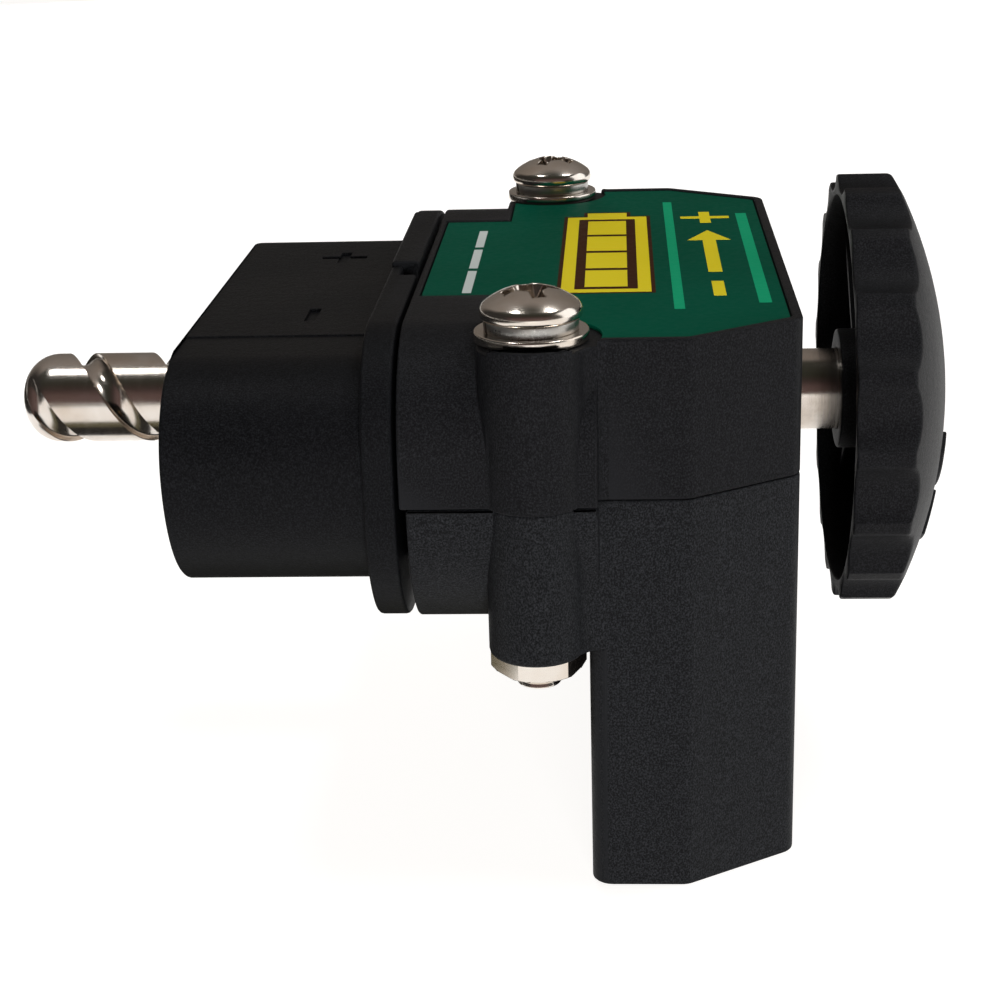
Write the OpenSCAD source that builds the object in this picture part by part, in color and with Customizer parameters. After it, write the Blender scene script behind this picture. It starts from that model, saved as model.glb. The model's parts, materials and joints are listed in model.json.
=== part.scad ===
// Battery disconnect plug: a nose with two sockets, a two-part body, and a knob on a grooved
// drive shaft that draws the nose into its receptacle. Millimetres. X runs along the shaft
// towards the knob, Z is up, and the origin is on the shaft axis in the plane of the flange's
// seating face.

/* [Nose and flange] */
// Length of the nose in front of the seating face
nose_length = 18.45; // [15:0.05:22]
// Reach of the nose from the shaft axis to its front side
nose_front = 36.75; // [36:0.05:37.2]
// Reach of the nose from the shaft axis to its rounder back side
nose_back = 32.4; // [32:0.1:33.5]
// Height of the nose above the shaft axis
nose_top = 11.9; // [11.9:0.1:12.4]
// Depth of the nose below the shaft axis
nose_bottom = 11; // [11:0.1:11.6]
// Wall of the nose around its mouth
nose_wall = 2.3; // [1.8:0.1:2.6]
// Depth of the mouth
mouth_depth = 16.4; // [14.5:0.1:17]
// Thickness of the flange
flange_thickness = 2.9; // [2.6:0.1:3]
// Width of the flange
flange_width = 74.8; // [74:0.1:76]
// Height of the flange
flange_height = 30; // [29.6:0.1:30.4]

/* [Body] */
// Distance from the seating face to the face behind the knob
body_length = 40; // [39.6:0.1:41]
// Width of the body between its flat sides
body_width = 70.8; // [70:0.1:71]
// Width of the face behind the knob, between the slanted corners
end_width = 57; // [54:0.1:60]
// Distance from the seating face to the start of the slanted corners
slant_start = 29.4; // [28:0.1:32]
// Width of the round-shouldered barrel
barrel_width = 75.4; // [75:0.1:76]
// Height from the parting plane to the top rim, and down to the barrel's underside
half_height = 15; // [14.9:0.1:15.3]
// Depth of the cable leg below the parting plane
leg_depth = 39.4; // [38:0.1:60]
// Thickness of the body's walls
wall = 2.5; // [2:0.1:2.6]
// Depth of the label's recess in the top face
label_recess = 0.5; // [0.4:0.05:0.6]

/* [Case screws] */
// Distance of the screws from the seating face
screw_x = 15.4; // [15.2:0.1:15.6]
// Distance of each screw from the shaft's plane
screw_y = 32.9; // [32.5:0.1:33]
// Diameter of the screw's shank
screw_d = 4.8; // [4:0.1:5]
// Diameter of the pan head
head_d = 9.28; // [8.5:0.01:9.6]
// Width of the nut across its flats
nut_flats = 7.94; // [7:0.01:8.2]
// Radius of the screw bosses
boss_r = 4.9; // [4.7:0.1:5]
// Radius of the bosses below the parting plane
lower_boss_r = 4.5; // [4.3:0.1:4.9]
// Radius of the hollow corner between a screw boss and the body's side
boss_hollow_r = 3; // [2:0.5:3.5]

/* [Shaft] */
// Reach of the drive stud in front of the seating face
stud_reach = 40.8; // [38:0.1:45]
// Diameter of the drive stud
stud_d = 9.525; // [9.5:0.005:9.6]
// Diameter of the journal that carries the knob
journal_d = 8.54; // [8.4:0.01:8.8]
// Axial distance of one turn of a helical groove
groove_lead = 18; // [14:0.5:24]
// Width of each groove around the stud, in degrees
groove_angle = 57; // [40:1:70]
// Depth of each groove
groove_depth = 1.3; // [1:0.1:1.8]
// Inward travel of the shaft against its spring
push_travel = 5; // [3:0.1:5]

/* [Knob] */
// Diameter over the knob's ridges
knob_d = 44.8; // [44:0.1:46]
// Gap between the body and the knob's rim at rest
knob_gap = 5.95; // [5.6:0.05:8]
// Radius of the domed face
dome_r = 48; // [47:0.1:50]
// Number of finger scallops
scallops = 18; // [12:1:18]
// Depth of each scallop below the ridges
scallop_depth = 1.4; // [1:0.1:1.5]
// Diameter of the hub inside the knob
hub_d = 12.6; // [12:0.1:14]

/* [Contacts and cables] */
// Distance of each contact from the shaft's plane
contact_y = 21; // [20.8:0.1:21.2]
// Outer diameter of a contact
contact_d = 8; // [7.6:0.1:8]
// Diameter of the contact's socket
socket_d = 6; // [5:0.1:6.2]
// Diameter of the cable that each grommet takes
cable_d = 7.8; // [6:0.1:8]

/* [Hidden] */
$fn = 96;

// The knob's rim is at +X; the front is the -Y side
front = -1;
back = 1;

// Cutters run this far past the faces they cut
past = 1;
// Gap that lets two moulded pieces go together
play = 0.2;
// Running clearance of the shaft in its holes
running = 0.05;

plastic = "#232526";
metal = "#c9c5bd";
copper = "#b98a4a";
rubber = "#111111";
zinc = "#9a9c9e";

// Corner radii of the nose, the flange and the barrel: front top, back top, back bottom, front bottom.
// A round end keeps a short straight stretch between its two corners.
end_straight = 0.2;
nose_r_round = (nose_top + nose_bottom - end_straight) / 2;
flange_r_round = (flange_height - end_straight) / 2;
barrel_r_round = half_height - end_straight / 2;
nose_radii = [9.2, nose_r_round, nose_r_round, 13.6];
flange_radii = [10, flange_r_round, flange_r_round, flange_r_round];
barrel_radii = [10.5, barrel_r_round, barrel_r_round, barrel_r_round];
flat_half = 20.9;
flat_step = 0.15;

// Locating pad on the flange's top edge, and the pocket beside it
pad_span = [-5, 21];
pad_height = 0.5;
pocket = [1.2, 3.5, 0.9];

// Faces along X
upper_left = flange_thickness + 0.4;
lower_left = flange_thickness + 1;
front_wall_in = flange_thickness + 2.7;
block_left = screw_x - boss_r;
leg_left = screw_x + boss_r - 0.1;
end_wall_in = body_length - wall;
web_right = front_wall_in + 2.4;

// Neck and lip that hold the nose between the shells
neck_half = [26.4, 9.8];
lip_half = [28.2, 11.6];
lip_cavity_half = 28.5;
column_cavity_half = 26.9;
cavity_top = half_height - 2.6;
cavity_bottom = half_height - 3.2;

// Bosses, screws and what is stacked on them
boss_y = screw_y + 2.1;
boss_bottom = half_height - 0.2;
washer_z = half_height - label_recess;
washer_d = 10.4;
washer_t = 1;
lock_t = 1.05;
head_rim = 1.1;
head_h = 2.9;
nut_h = 2.5;
screw_tip = 1.5;
thread_pitch = 0.8;
head_z = washer_z + washer_t + lock_t;

// Label
label_t = 0.35;
label_left = 4;
label_narrow = 17.7;
label_step = 11.1;
label_margin = 1;
label_gap = 0.15;
label_hole_r = 6.2;

// Shaft and what sits on it
groove_right = -9;
stud_right = 12;
tip_r = 3.8;
hub_x = body_length + knob_gap + 0.15;
hub_bore_end = 54;
shaft_end = 53.5;
pin_x = 50.6;
pin_d = 2.5;
bush_d = 11.6;
bush_flange = [15, 1.2];
bush_left = end_wall_in - bush_flange[1];
thrust_t = 0.5;
ring_t = 1;
ring_groove_depth = 0.5;
seat_t = 2;
seat_pilot = [11, 1.5];
thrust_left = bush_left - thrust_t;
ring_left = thrust_left - ring_t;
seat_left = ring_left - seat_t;
plate_d = 16;

// Spring between the nose's web and the seat
spring_wire = 1.3;
spring_mean_r = 6.4;
spring_turns = 9;
spring_left = web_right + 0.05;
spring_right = seat_left - 0.05;

// Knob
knob_left = body_length + knob_gap;
dome_x = 9;
dome_t = 2.5;
cup_r = 20.3;
ridge_start = 2;
land_angle = 4;
rib_t = 1.2;
rib_left = knob_left + 2.2;
arrow_r = [7.3, 10.6];
arrow_stop_r = [11.4, 16.2];
arrow_stop_angles = [233, 247];
arrow_proud = 0.4;

// Contacts, lugs and grommets
collar_d = 12.6;
collar_left = 3;
contact_left = 4.5;
contact_right = 25;
socket_depth = 16;
slot_w = 0.7;
lug_x = (leg_left + body_length) / 2;
lug_t = 1.6;
lug_palm = [11, 6, 10.6];
lug_barrel = [7.8, 5.8, 15];
lug_hole_d = 5.2;
lug_head_d = 8.8;
grommet_flange = [14.8, 2];
grommet_d = 12;

// ---- Helpers ----

// A 2D outline in the YZ plane, extruded along X
module along_x(x, length) {
    translate([x, 0, 0])
        rotate([90, 0, 90])
            linear_extrude(height = length)
                children();
}

// A cylinder or a cone along X
module rod(x, length, d, d2 = undef) {
    translate([x, 0, 0])
        rotate([0, 90, 0])
            cylinder(h = length, d1 = d, d2 = is_undef(d2) ? d : d2);
}

// A rectangle from low to high whose corner radii are given clockwise, the left one above first
module rounded_outline(low, high, radii) {
    corners = [[low[0], high[1]], high, [high[0], low[1]], low];
    inward = [[1, -1], [-1, -1], [-1, 1], [1, 1]];
    polygon([
        for (i = [0:3], end = [0, 1])
            let (sideways = (i + end) % 2)
            corners[i] + radii[i] * [sideways * inward[i][0], (1 - sideways) * inward[i][1]]
    ]);
    for (i = [0:3])
        translate(corners[i] + radii[i] * inward[i])
            intersection() {
                circle(r = radii[i]);
                translate([for (way = inward[i]) min(0, -way * radii[i])])
                    square([radii[i], radii[i]]);
            }
}

// The same rectangle centred on the origin
module centred_outline(half, radii) {
    rounded_outline(-half, half, radii);
}

// Everything above the parting plane, or below it
module half_space(up) {
    translate([-100, -100, up ? 0 : -200])
        cube([200, 200, 200]);
}

// ---- Outlines of the housing ----

module nose_outline(inset = 0) {
    rounded_outline([-nose_front + inset, -nose_bottom + inset], [nose_back - inset, nose_top - inset],
        [for (r = nose_radii) r - inset]);
}

module barrel_outline() {
    centred_outline([barrel_width / 2, half_height], barrel_radii);
}

// Cross-section of the neck and of the lip, whose corners are alike
module neck_outline(half, r) {
    centred_outline(half, [r, r, r, r]);
}

// Unit vector from a to b
function unit(a, b) = (b - a) / norm(b - a);

// Length from a corner to where a rounding of radius r starts
function tangent(a, v, b, r) = r * sqrt((1 + unit(v, a) * unit(v, b)) / (1 - unit(v, a) * unit(v, b)));

// Centre of the rounding of radius r at corner v
function rounding(a, v, b, r) =
    let (bisector = unit(v, a) + unit(v, b))
    v + bisector / norm(bisector) * norm([r, tangent(a, v, b, r)]);

// A convex polygon whose corners are rounded by r
module rounded_polygon(points, r) {
    n = len(points);
    before = [for (i = [0:n - 1]) points[(i + n - 1) % n]];
    after = [for (i = [0:n - 1]) points[(i + 1) % n]];
    polygon([
        for (i = [0:n - 1], other = [before[i], after[i]])
            points[i] + unit(points[i], other) * tangent(before[i], points[i], after[i], r)
    ]);
    for (i = [0:n - 1])
        translate(rounding(before[i], points[i], after[i], r))
            circle(r = r);
}

// Plan of the wide body and the leg, drawn inset by a wall
module body_plan(inset = 0, r = 2) {
    side = body_width / 2 - inset;
    end = end_width / 2 - inset * 0.7;
    rounded_polygon([
        [leg_left + inset, -side], [slant_start, -side], [body_length - inset, -end],
        [body_length - inset, end], [slant_start, side], [leg_left + inset, side]
    ], r);
}

// Plan of the two screw bosses and the block that joins them
module boss_plan(r) {
    translate([screw_x - r, -boss_y])
        square([2 * r, 2 * boss_y]);
    for (side = [front, back])
        translate([screw_x, side * boss_y])
            circle(r = r);
}

// Plan of the hollow corners where the body's sides run out into the screw bosses
module boss_hollows(r) {
    overlap = 0.03;
    reach = r + boss_hollow_r - overlap;
    hollow_y = body_width / 2 + boss_hollow_r - overlap;
    hollow_x = screw_x + sqrt(reach * reach - pow(hollow_y - boss_y, 2));
    for (side = [front, back])
        difference() {
            polygon([
                [screw_x, side * (boss_y - 3)], [hollow_x, side * (boss_y - 3)],
                [hollow_x, side * hollow_y], [screw_x, side * boss_y]
            ]);
            translate([hollow_x, side * hollow_y])
                circle(r = boss_hollow_r);
        }
}

// The hollow inside both shells, above the leg
module body_cavity() {
    height = cavity_top + cavity_bottom;
    translate([front_wall_in, -lip_cavity_half, -cavity_bottom])
        cube([block_left - front_wall_in - 1, 2 * lip_cavity_half, height]);
    translate([front_wall_in, -column_cavity_half, -cavity_bottom])
        cube([leg_left + wall + past - front_wall_in, 2 * column_cavity_half, height]);
    translate([0, 0, -cavity_bottom])
        linear_extrude(height = height)
            body_plan(inset = wall, r = 1);
    along_x(lower_left - 2, front_wall_in - lower_left + 2 + past)
        neck_outline(neck_half + [play, play], 4);
}

// Holes that both shells share: the screws and the rear bush
module shell_holes() {
    for (side = [front, back])
        translate([screw_x, side * screw_y, -boss_bottom - past])
            cylinder(h = 2 * boss_bottom + past, d = screw_d + 2 * play);
    rod(end_wall_in - past, wall + 2 * past, bush_d);
}

module label_outline(inset = 0) {
    difference() {
        union() {
            translate([label_left + inset, -label_narrow + inset])
                square([label_step - label_left + 4, 2 * (label_narrow - inset)]);
            difference() {
                body_plan(inset = label_margin + inset, r = 1);
                translate([0, -50])
                    square([leg_left + 4, 100]);
            }
            translate([label_step + inset, -body_width / 2 + label_margin + inset])
                square([leg_left + 5 - label_step - inset, body_width - 2 * (label_margin + inset)]);
        }
        for (side = [front, back])
            translate([screw_x, side * screw_y])
                circle(r = label_hole_r + inset);
    }
}

// ---- Housing ----

module nose_housing() {
    color(plastic)
        difference() {
            union() {
                along_x(-nose_length, nose_length)
                    nose_outline();
                translate([-nose_length, -flat_half, 0])
                    cube([nose_length, 2 * flat_half, nose_top + flat_step]);
                along_x(0, flange_thickness)
                    centred_outline([flange_width, flange_height] / 2, flange_radii);
                flange_pad();
                along_x(flange_thickness, front_wall_in + play - flange_thickness)
                    neck_outline(neck_half, 4);
                along_x(front_wall_in + play, web_right - front_wall_in - play)
                    neck_outline(lip_half, 3);
            }
            difference() {
                along_x(-nose_length - past, mouth_depth + past)
                    nose_outline(nose_wall);
                for (side = [front, back])
                    translate([0, side * contact_y, 0])
                        rod(-nose_length + collar_left, nose_length, collar_d);
            }
            rod(-nose_length, nose_length + web_right + past, stud_d + 2 * running);
            for (side = [front, back])
                translate([0, side * contact_y, 0])
                    rod(-nose_length, nose_length + web_right + past, contact_d);
            polarity_marks();
            translate([pocket[0], pad_span[0] - pocket[1], flange_height / 2 - pocket[2]])
                cube([flange_thickness, pocket[1], pocket[2] + past]);
        }
}

// A raised locating pad on the flange's top edge
module flange_pad() {
    translate([0, pad_span[0], flange_height / 2 - past])
        cube([flange_thickness, pad_span[1] - pad_span[0], pad_height + past]);
}

// Sunk plus and minus signs on the nose's flat top, one over each contact
module polarity_marks() {
    mark = [5, 1.1];
    depth = 0.35;
    x = -nose_length / 2 + 2;
    z = nose_top + flat_step - depth;
    for (side = [front, back])
        translate([x - mark[1] / 2, side * 13 - mark[0] / 2, z])
            cube([mark[1], mark[0], depth + past]);
    translate([x - mark[0] / 2, 13 - mark[1] / 2, z])
        cube([mark[0], mark[1], depth + past]);
}

module upper_shell() {
    color(plastic)
        difference() {
            intersection() {
                union() {
                    along_x(upper_left, leg_left + past - upper_left)
                        barrel_outline();
                    linear_extrude(height = half_height)
                        body_plan();
                    linear_extrude(height = half_height) {
                        boss_plan(boss_r);
                        boss_hollows(boss_r);
                    }
                }
                half_space(true);
            }
            body_cavity();
            shell_holes();
            translate([0, 0, washer_z])
                linear_extrude(height = past)
                    label_outline();
            for (side = [front, back])
                translate([screw_x, side * screw_y, washer_z])
                    cylinder(h = past, r = label_hole_r + play);
        }
}

module lower_shell() {
    seam = 0.06;
    color(plastic)
        difference() {
            union() {
                intersection() {
                    along_x(lower_left, leg_left + past - lower_left)
                        barrel_outline();
                    half_space(false);
                }
                translate([0, 0, -boss_bottom])
                    linear_extrude(height = boss_bottom) {
                        boss_plan(lower_boss_r);
                        boss_hollows(lower_boss_r);
                    }
                translate([0, 0, -leg_depth])
                    linear_extrude(height = leg_depth)
                        body_plan();
            }
            body_cavity();
            shell_holes();
            translate([0, 0, -leg_depth + wall])
                linear_extrude(height = leg_depth)
                    body_plan(inset = wall, r = 1);
            for (side = [front, back])
                translate([lug_x, side * contact_y, -leg_depth - past])
                    cylinder(h = wall + 2 * past, d = grommet_d);
            translate([0, -50, -seam])
                cube([60, 100, past]);
        }
}

module label_plate() {
    color("#0d4f3c")
        translate([0, 0, washer_z])
            linear_extrude(height = label_t)
                label_outline(label_gap);
}

module rear_bushing() {
    color(copper)
        difference() {
            union() {
                rod(bush_left, body_length - bush_left, bush_d);
                rod(bush_left, bush_flange[1], bush_flange[0]);
            }
            rod(bush_left - past, body_length, journal_d + 2 * running);
        }
}

// ---- Drive ----

// The stud's cross-section: a disc with two opposite notches
module grooved_disc() {
    skin = 0.01;
    notch_w = stud_d * sin(groove_angle / 2);
    difference() {
        circle(d = stud_d - 2 * skin, $fn = 36);
        for (turn = [0, 180])
            rotate(turn)
                translate([stud_d / 2 - groove_depth, -notch_w / 2])
                    square([stud_d, notch_w]);
    }
}

// Stud body between its tip and the end of the grooves, with the tip's edge rounded
module stud_blank(length) {
    rotate_extrude()
        union() {
            square([stud_d / 2 - tip_r, length]);
            translate([0, tip_r])
                square([stud_d / 2, length - tip_r]);
            translate([stud_d / 2 - tip_r, tip_r])
                intersection() {
                    circle(r = tip_r);
                    translate([0, -tip_r])
                        square([tip_r, 2 * tip_r]);
                }
        }
}

module drive_shaft() {
    overlap = 0.5;
    length = stud_reach + groove_right + overlap;
    twist = 360 * length / groove_lead;
    start = 40;
    color(metal) {
        translate([-stud_reach, 0, 0])
            rotate([0, 90, 0])
                intersection() {
                    rotate(start)
                        linear_extrude(height = length, twist = -twist, slices = 44)
                            grooved_disc();
                    stud_blank(length);
                }
        difference() {
            union() {
                rod(groove_right, stud_right - groove_right, stud_d);
                rod(stud_right, shaft_end - stud_right, journal_d);
            }
            difference() {
                rod(ring_left - 0.05, ring_t + 0.1, stud_d);
                rod(ring_left - past, ring_t + 2 * past, journal_d - 2 * ring_groove_depth);
            }
            translate([pin_x, 0, -stud_d])
                cylinder(h = 2 * stud_d, d = pin_d);
        }
    }
}

// A disc along X from x_from, with the knob's domed face of radius r
module dome(x_from, half_w, r) {
    rotate([0, 90, 0])
        rotate_extrude()
            intersection() {
                translate([0, dome_x])
                    circle(r = r, $fn = 240);
                translate([0, x_from])
                    square([half_w, dome_r]);
            }
}

module knob() {
    arc = 360 / scallops - land_angle;
    chord = knob_d * sin(arc / 2);
    rise = scallop_depth - knob_d / 2 * (1 - cos(arc / 2));
    cutter_r = (chord * chord / 4 + rise * rise) / (2 * rise);
    cutter_y = knob_d / 2 * cos(arc / 2) - rise + cutter_r;
    color(plastic)
        difference() {
            union() {
                dome(knob_left, knob_d / 2, dome_r);
                turn_arrow();
            }
            for (i = [0:scallops - 1])
                rotate([ridge_start + 360 / scallops * (i + 0.5), 0, 0])
                    translate([0, cutter_y, 0])
                        rod(knob_left - past, dome_r, 2 * cutter_r);
            difference() {
                dome(knob_left - past, cup_r, dome_r - dome_t);
                rod(hub_x, dome_r, hub_d);
                for (turn = [45, 135])
                    rotate([turn, 0, 0])
                        translate([rib_left, -knob_d / 2, -rib_t / 2])
                            cube([dome_r, knob_d, rib_t]);
            }
            rod(hub_x - past, hub_bore_end - hub_x + past, journal_d + 2 * running);
            translate([pin_x, 0, -hub_d])
                cylinder(h = 2 * hub_d, d = pin_d);
        }
}

// The part of a ring between two angles that are less than half a turn apart
module ring_sector(r, from, to) {
    difference() {
        circle(r = r[1]);
        circle(r = r[0]);
        rotate(from)
            translate([-50, -50])
                square([100, 50]);
        rotate(to)
            translate([-50, 0])
                square([100, 50]);
    }
}

// Raised marks on the knob's face: a curved arrow in two pieces, and a short bar outside it
module turn_arrow() {
    from = 203;
    to = 318;
    middle = (arrow_r[0] + arrow_r[1]) / 2;
    head = [6.8, 9];
    intersection() {
        dome(knob_left + 2, knob_d / 2, dome_r + arrow_proud);
        along_x(knob_left + 1.6 * dome_t, dome_r)
            union() {
                ring_sector(arrow_r, from, to);
                rotate(to + 2)
                    polygon([[middle - head[0], 0], [middle + head[0], 0], [middle, head[1]]]);
                ring_sector(arrow_stop_r, arrow_stop_angles[0], arrow_stop_angles[1]);
            }
    }
}

module knob_pin() {
    color(zinc)
        translate([pin_x, 0, -hub_d / 2 + play])
            cylinder(h = hub_d - 2 * play, d = pin_d);
}

module retaining_ring() {
    gap_w = 3;
    outer_d = 13;
    color(zinc)
        difference() {
            rod(ring_left, ring_t, outer_d);
            rod(ring_left - past, ring_t + 2 * past, journal_d - 2 * ring_groove_depth + 2 * running);
            translate([ring_left - past, -gap_w / 2, 0])
                cube([ring_t + 2 * past, gap_w, outer_d]);
        }
}

// ---- Spring ----

module thrust_washer() {
    color(copper)
        difference() {
            rod(thrust_left, thrust_t, plate_d);
            rod(thrust_left - past, thrust_t + 2 * past, journal_d + 2 * running);
        }
}

module spring_seat() {
    color(zinc)
        difference() {
            union() {
                rod(seat_left, seat_t, plate_d);
                rod(seat_left - seat_pilot[1], seat_pilot[1], seat_pilot[0]);
            }
            rod(seat_left - seat_pilot[1] - past, seat_t + seat_pilot[1] + 2 * past, journal_d + 2 * running);
        }
}

// Share of the spring's length reached after a share of its turns, with one flat turn at each end
function coil_rise(t) = let (flat = 1 / spring_turns) min(1, max(0, (t - flat) / (1 - 2 * flat)));

// Advance of the closed end turns, one wire per turn
function coil_x(t) =
    let (flat = 1 / spring_turns, wire = spring_wire * 1.02,
         free = spring_right - spring_left - spring_wire - 2 * wire)
    spring_left + spring_wire / 2 + wire * spring_turns * (min(t, flat) + max(0, t - 1 + flat))
        + free * coil_rise(t);

module return_spring() {
    sides = 8;
    steps = 24 * spring_turns;
    points = [
        for (i = [0:steps], j = [0:sides - 1])
            let (a = 360 * spring_turns * i / steps, b = 360 * j / sides,
                 r = spring_mean_r + spring_wire / 2 * cos(b))
            [coil_x(i / steps) + spring_wire / 2 * sin(b), r * cos(a), r * sin(a)]
    ];
    skin = [
        for (i = [0:steps - 1], j = [0:sides - 1])
            let (k = (j + 1) % sides)
            [i * sides + j, i * sides + k, (i + 1) * sides + k, (i + 1) * sides + j]
    ];
    start_cap = [for (j = [sides - 1:-1:0]) j];
    end_cap = [for (j = [0:sides - 1]) steps * sides + j];
    color(metal)
        polyhedron(points = points, faces = concat(skin, [start_cap, end_cap]), convexity = 10);
}

// ---- Case screws ----

// A cross recess cut downwards from the origin
module cross_recess(size) {
    slot = size * 0.24;
    depth = size * 0.36;
    for (turn = [0, 90])
        rotate(turn)
            translate([-size / 2, -slot / 2, -depth])
                cube([size, slot, depth + past]);
    translate([0, 0, -depth * 1.2])
        cylinder(h = depth * 1.2 + 0.01, d1 = slot, d2 = size * 0.62);
}

// A domed pan head standing on the XY plane, with its cross recess turned to suit
module pan_head(d, height, rim, turn) {
    rise = height - rim;
    cap_r = (d * d / 4 + rise * rise) / (2 * rise);
    difference() {
        intersection() {
            cylinder(h = height, d = d);
            translate([0, 0, height - cap_r])
                sphere(r = cap_r);
        }
        translate([0, 0, height])
            rotate(turn)
                cross_recess(d * 0.56);
    }
}

// Threaded end of a screw, pointing down from the XY plane
module thread_end(d, length) {
    root = d / 2 - thread_pitch * 0.55;
    turns = floor(length / thread_pitch);
    rotate_extrude(convexity = 6)
        polygon(concat(
            [[0, 0]],
            [for (i = [0:turns - 1], tooth = [0, 1])
                [tooth == 0 ? d / 2 : root, -thread_pitch * (i + tooth / 2)]],
            [[d / 2 - 0.3, -thread_pitch * turns], [root - 0.3, -length], [0, -length]]
        ));
}

module case_screw(side) {
    tip = boss_bottom + nut_h + screw_tip;
    thread = 8;
    color(metal)
        translate([screw_x, side * screw_y, 0]) {
            translate([0, 0, head_z])
                pan_head(head_d, head_h, head_rim, side == front ? 20 : 65);
            translate([0, 0, -tip + thread])
                cylinder(h = head_z + tip - thread + 0.2, d = screw_d);
            translate([0, 0, -tip + thread])
                thread_end(screw_d, thread);
        }
}

module split_washer(d, hole_d, t) {
    slit = 0.6;
    difference() {
        cylinder(h = t, d = d);
        translate([0, 0, -past])
            cylinder(h = t + 2 * past, d = hole_d);
        translate([0, 0, t / 2])
            rotate([25, 0, 200])
                translate([0, -slit / 2, -2 * t])
                    cube([d, slit, 4 * t]);
    }
}

module case_lock_washer(side) {
    color(zinc)
        translate([screw_x, side * screw_y, washer_z + washer_t])
            split_washer(8.6, screw_d + 2 * running, lock_t);
}

module case_flat_washer(side) {
    color(metal)
        translate([screw_x, side * screw_y, washer_z])
            difference() {
                cylinder(h = washer_t, d = washer_d);
                translate([0, 0, -past])
                    cylinder(h = washer_t + 2 * past, d = screw_d + 2 * play);
            }
}

module case_nut(side) {
    corner_d = nut_flats / cos(30);
    chamfer_d = nut_flats + 0.2;
    color(metal)
        translate([screw_x, side * screw_y, -boss_bottom - nut_h])
            difference() {
                intersection() {
                    rotate(8)
                        cylinder(h = nut_h, d = corner_d, $fn = 6);
                    cylinder(h = nut_h, d1 = chamfer_d, d2 = chamfer_d + 2 * nut_h / tan(30));
                }
                translate([0, 0, -past])
                    cylinder(h = nut_h + 2 * past, d = screw_d + 2 * running);
            }
}

// ---- Contacts and cables ----

module contact(side) {
    left = -nose_length + contact_left;
    color(copper)
        translate([0, side * contact_y, 0])
            difference() {
                rod(left, contact_right - left, contact_d);
                rod(left - past, socket_depth + past, socket_d);
                rod(left - past, past + 0.6, socket_d + 3.2, socket_d);
                for (turn = [45, 135])
                    rotate([turn, 0, 0])
                        translate([left - past, -contact_d, -slot_w / 2])
                            cube([socket_depth - 4 + past, 2 * contact_d, slot_w]);
                rod(contact_right - 12, 12 + past, screw_d + 2 * running);
            }
}

module cable_lug(side) {
    color(metal)
        translate([0, side * contact_y, 0])
            difference() {
                union() {
                    translate([contact_right, -lug_palm[0] / 2, -lug_palm[2]])
                        cube([lug_t, lug_palm[0], lug_palm[2] + lug_palm[1]]);
                    translate([contact_right, -lug_palm[0] / 2, -lug_palm[2]])
                        cube([lug_x - contact_right, lug_palm[0], lug_t]);
                    translate([lug_x, 0, -lug_palm[2]])
                        cylinder(h = lug_t, d = lug_palm[0]);
                    translate([lug_x, 0, -lug_palm[2] - lug_barrel[2]])
                        cylinder(h = lug_barrel[2] + 0.1, d = lug_barrel[0]);
                }
                rod(contact_right - past, lug_t + 2 * past, lug_hole_d);
                translate([lug_x, 0, -lug_palm[2] - lug_barrel[2] - past])
                    cylinder(h = lug_barrel[2] - 1, d = lug_barrel[1]);
            }
}

module lug_screw(side) {
    shank = 9;
    head_x = contact_right + lug_t + lock_t;
    color(metal)
        translate([head_x, side * contact_y, 0])
            rotate([0, 90, 0]) {
                pan_head(lug_head_d, head_h, head_rim, 30 * side);
                translate([0, 0, -shank])
                    cylinder(h = shank + 0.2, d = screw_d);
            }
}

module lug_lock_washer(side) {
    color(zinc)
        translate([contact_right + lug_t, side * contact_y, 0])
            rotate([0, 90, 0])
                split_washer(8.2, screw_d + 2 * running, lock_t);
}

module cable_grommet(side) {
    color(rubber)
        translate([lug_x, side * contact_y, -leg_depth])
            difference() {
                union() {
                    cylinder(h = wall, d = grommet_d);
                    translate([0, 0, wall])
                        cylinder(h = grommet_flange[1], d = grommet_flange[0]);
                }
                translate([0, 0, -past])
                    cylinder(h = wall + grommet_flange[1] + 2 * past, d = cable_d);
            }
}

nose_housing();
upper_shell();
lower_shell();
label_plate();
rear_bushing();
drive_shaft();
knob();
knob_pin();
retaining_ring();
thrust_washer();
spring_seat();
return_spring();
case_screw(front);  // case_screw_front
case_screw(back);  // case_screw_back
case_lock_washer(front);  // case_lock_washer_front
case_lock_washer(back);  // case_lock_washer_back
case_flat_washer(front);  // case_flat_washer_front
case_flat_washer(back);  // case_flat_washer_back
case_nut(front);  // case_nut_front
case_nut(back);  // case_nut_back
contact(front);  // contact_front
contact(back);  // contact_back
cable_lug(front);  // cable_lug_front
cable_lug(back);  // cable_lug_back
lug_screw(front);  // lug_screw_front
lug_screw(back);  // lug_screw_back
lug_lock_washer(front);  // lug_lock_washer_front
lug_lock_washer(back);  // lug_lock_washer_back
cable_grommet(front);  // cable_grommet_front
cable_grommet(back);  // cable_grommet_back
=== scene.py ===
"""Looks of the battery disconnect plug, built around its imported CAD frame. Metres, radians."""

import json
import math

import bmesh
import bpy
from mathutils import Matrix, Vector


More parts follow.
